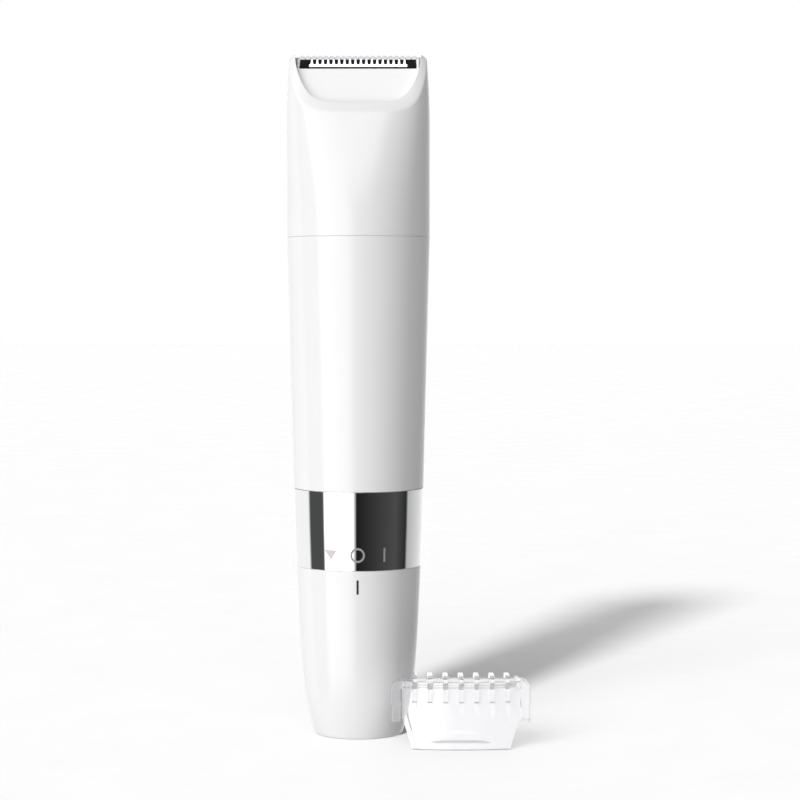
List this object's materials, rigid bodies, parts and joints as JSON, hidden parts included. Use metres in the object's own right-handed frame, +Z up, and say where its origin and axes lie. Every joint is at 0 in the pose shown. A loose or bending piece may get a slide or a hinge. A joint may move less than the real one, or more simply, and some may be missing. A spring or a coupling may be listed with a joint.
{
  "type": "body groomer",
  "caption": "Slim battery body groomer with a scooped toothed-blade head, a chrome ring, a twist-switch battery cap and a loose clear trimming comb.",
  "frame": {"origin": "centre of the flat foot of the battery cap, where the groomer stands", "axes": "+Z up the handle to the blade, front (the scooped side, with the switch marks) towards -Y, +X to the right seen from the front"},
  "size_m": [0.0531, 0.0372, 0.15],
  "materials": {
    "body_white": "polished",
    "inner_white": "as moulded",
    "chrome": "polished",
    "blade_steel": "ground",
    "spring_steel": "drawn",
    "black_plastic": "as moulded",
    "seal_rubber": "moulded",
    "contact_brass": "rolled",
    "winding_copper": "wound",
    "magnet": "sintered",
    "cell_jacket": "printed film, plain",
    "red_wire": "extruded",
    "blue_wire": "extruded",
    "clear_plastic": "polished, clear"
  },
  "bodies": {
    "handle": {"handle_shell": "body_white", "neck_o_ring": "seal_rubber", "chrome_ring": "chrome", "chassis": "inner_white", "lever_pivot_pin": "spring_steel", "motor_can": "spring_steel", "motor_end_cap": "black_plastic", "motor_bushing": "contact_brass", "motor_magnet_right": "magnet", "motor_magnet_left": "magnet", "motor_terminal_positive": "contact_brass", "motor_terminal_negative": "contact_brass", "positive_contact": "contact_brass", "positive_lead": "red_wire", "negative_lead": "blue_wire", "switch_leaf": "winding_copper", "detent_spring": "spring_steel", "motor_screw_left": "spring_steel", "motor_screw_right": "spring_steel"},
    "motor_rotor": {"motor_shaft": "spring_steel", "motor_armature": "winding_copper", "eccentric_cam": "inner_white"},
    "drive_lever": {"drive_lever": "inner_white"},
    "head": {"head_shell": "body_white", "head_apron": "body_white", "head_floor": "inner_white", "seal_membrane": "seal_rubber", "cutter_spring": "spring_steel", "fixed_blade": "blade_steel", "blade_carrier": "black_plastic", "blade_screw_left": "spring_steel", "blade_screw_right": "spring_steel"},
    "cutter": {"cutter_carriage": "black_plastic", "moving_blade": "blade_steel"},
    "switch_collar": {"switch_collar": "inner_white", "collar_contact": "contact_brass"},
    "battery_cap": {"battery_cap": "body_white", "cap_o_ring": "seal_rubber", "spring_cup": "inner_white", "cap_contact_plate": "contact_brass", "cap_contact_arm": "contact_brass", "battery_spring": "spring_steel", "battery_cell": "spring_steel", "battery_jacket": "cell_jacket"},
    "comb": {"trimming_comb": "clear_plastic"}
  },
  "joints": [
    {"name": "cap_twist", "type": "hinge", "parent": "handle", "child": "switch_collar", "pos_m": [0, 0, 0.049], "axis": [0, 0, 1], "range_deg": [-25, 25]},
    {"name": "cap_pull", "type": "slide", "parent": "switch_collar", "child": "battery_cap", "axis": [0, 0, -1], "range_m": [0, 0.055]},
    {"name": "head_pull", "type": "slide", "parent": "handle", "child": "head", "axis": [0, 0, 1], "range_m": [0, 0.04]},
    {"name": "motor_spin", "type": "hinge", "parent": "handle", "child": "motor_rotor", "pos_m": [0, 0, 0.09], "axis": [0, 0, 1], "continuous": true},
    {"name": "cutter_stroke", "type": "slide", "parent": "head", "child": "cutter", "axis": [1, 0, 0], "range_m": [-0.0009, 0.0009]},
    {"name": "lever_swing", "type": "hinge", "parent": "handle", "child": "drive_lever", "pos_m": [0, 0, 0.114], "axis": [0, 1, 0], "range_deg": [-4.4, 4.4]},
    {"name": "comb_lift", "type": "slide", "parent": "handle", "child": "comb", "axis": [0, 0, 1], "range_m": [0, 0.16]}
  ],
  "couplings": [
    {"joint": "lever_swing", "follows": "cutter_stroke", "rad_per_m": 83.333}
  ]
}
